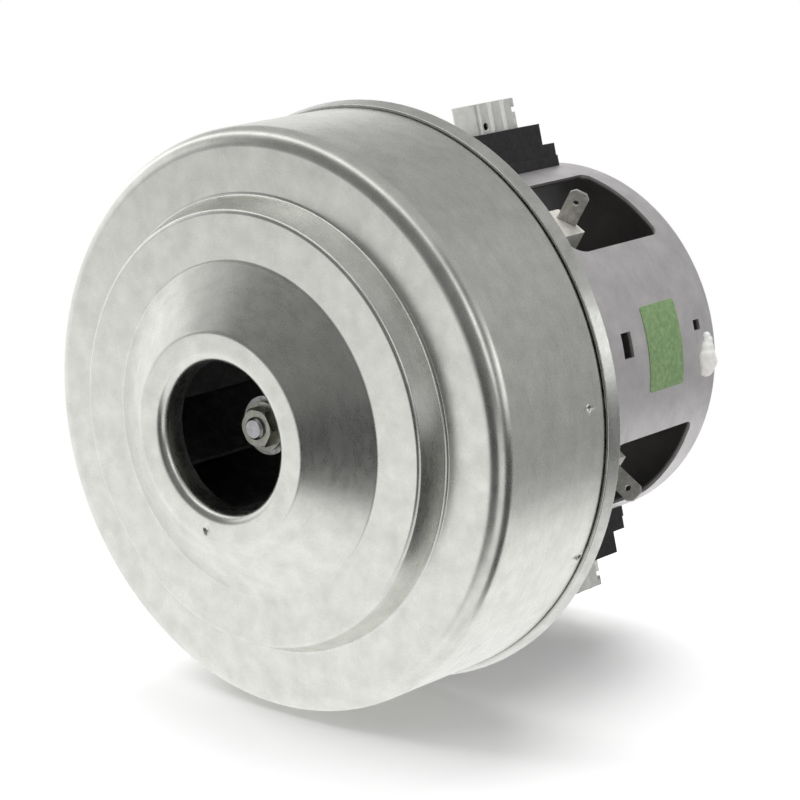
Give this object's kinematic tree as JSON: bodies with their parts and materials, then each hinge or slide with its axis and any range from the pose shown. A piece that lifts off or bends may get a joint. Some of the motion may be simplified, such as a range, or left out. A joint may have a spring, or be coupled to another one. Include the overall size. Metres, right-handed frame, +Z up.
{
  "type": "vacuum motor unit",
  "caption": "One-stage vacuum fan motor: pressed steel fan cover with a flared inlet, bracket ring, windowed motor can and carbon brush holders.",
  "frame": {"origin": "middle of the inlet throat, on the shaft axis", "axes": "+Y along the shaft from the air inlet to the rear bearing boss, +Z up, +X to the right seen from the inlet"},
  "size_m": [0.1344, 0.1357, 0.1344],
  "materials": {
    "cover_sheet": "galvanised steel sheet, mottled satin",
    "cast_bracket": "die-cast, satin",
    "can_sheet": "zinc plated steel sheet, satin",
    "black_moulding": "glass-filled, matt black",
    "zinc_steel": "zinc plated",
    "lamination_steel": "stacked electrical sheet",
    "pale_moulding": "off-white moulding",
    "copper_wire": "enamelled copper wire, varnished",
    "tinned_brass": "tin plated sheet brass",
    "spring_steel": "spring steel",
    "label_film": "bare green sticker",
    "white_sealant": "cured white sealant",
    "bearing_steel": "ground and polished",
    "pressed_steel": "pressed sheet",
    "shaft_steel": "ground steel",
    "commutator_copper": "bare copper, worn by the brushes",
    "brown_moulding": "phenolic moulding",
    "wheel_aluminium": "rolled sheet",
    "carbon": "pressed carbon"
  },
  "bodies": {
    "motor_body": {"fan_cover": "cover_sheet", "motor_bracket": "cast_bracket", "diffuser": "black_moulding", "diffuser_screws": "zinc_steel", "motor_can": "can_sheet", "can_screws": "zinc_steel", "stator_core": "lamination_steel", "stator_insulator_front": "pale_moulding", "stator_insulator_rear": "pale_moulding", "field_coil_a": "copper_wire", "field_coil_b": "copper_wire", "terminal_tab_upper": "tinned_brass", "terminal_tab_lower": "tinned_brass", "rear_spring_washer": "spring_steel", "holder_screws": "zinc_steel", "label": "label_film", "sealant_dab": "white_sealant", "front_bearing_outer": "bearing_steel", "front_bearing_shields": "pressed_steel", "rear_bearing_outer": "bearing_steel", "rear_bearing_shields": "pressed_steel", "brush_holder_upper": "black_moulding", "brush_holder_lower": "black_moulding", "brush_tube_upper": "tinned_brass", "brush_tube_lower": "tinned_brass", "brush_spring_upper": "spring_steel", "brush_spring_lower": "spring_steel"},
    "rotor": {"shaft": "shaft_steel", "armature_core": "lamination_steel", "armature_winding": "copper_wire", "commutator_bars": "commutator_copper", "commutator_core": "brown_moulding", "fan_spacer": "shaft_steel", "wheel_back_plate": "wheel_aluminium", "wheel_hub": "wheel_aluminium", "hub_rivets": "wheel_aluminium", "wheel_blades": "wheel_aluminium", "wheel_front_shroud": "wheel_aluminium", "clamp_washer": "zinc_steel", "hub_nut": "zinc_steel", "front_bearing_inner": "bearing_steel", "rear_bearing_inner": "bearing_steel"},
    "front_ball_set": {"front_bearing_balls": "bearing_steel", "front_bearing_cage": "pressed_steel"},
    "rear_ball_set": {"rear_bearing_balls": "bearing_steel", "rear_bearing_cage": "pressed_steel"},
    "upper_brush": {"carbon_brush_upper": "carbon"},
    "lower_brush": {"carbon_brush_lower": "carbon"}
  },
  "joints": [
    {"name": "rotor_spin", "type": "hinge", "parent": "motor_body", "child": "rotor", "pos_m": [0, 0.08, 0], "axis": [0, 1, 0], "continuous": true},
    {"name": "front_balls_orbit", "type": "hinge", "parent": "motor_body", "child": "front_ball_set", "pos_m": [0, 0.04555, 0], "axis": [0, 1, 0], "continuous": true},
    {"name": "rear_balls_orbit", "type": "hinge", "parent": "motor_body", "child": "rear_ball_set", "pos_m": [0, 0.12555, 0], "axis": [0, 1, 0], "continuous": true},
    {"name": "upper_brush_feed", "type": "slide", "parent": "motor_body", "child": "upper_brush", "axis": [-0.2402, 0, 0.9707], "range_m": [0, 0.012], "stiffness_N_per_m": 40, "springref_m": -0.005, "deforming": ["brush_spring_upper"]},
    {"name": "lower_brush_feed", "type": "slide", "parent": "motor_body", "child": "lower_brush", "axis": [0.2402, 0, -0.9707], "range_m": [0, 0.012], "stiffness_N_per_m": 40, "springref_m": -0.005, "deforming": ["brush_spring_lower"]}
  ],
  "couplings": [
    {"joint": "front_balls_orbit", "follows": "rotor_spin", "ratio": 0.368},
    {"joint": "rear_balls_orbit", "follows": "rotor_spin", "ratio": 0.368}
  ]
}
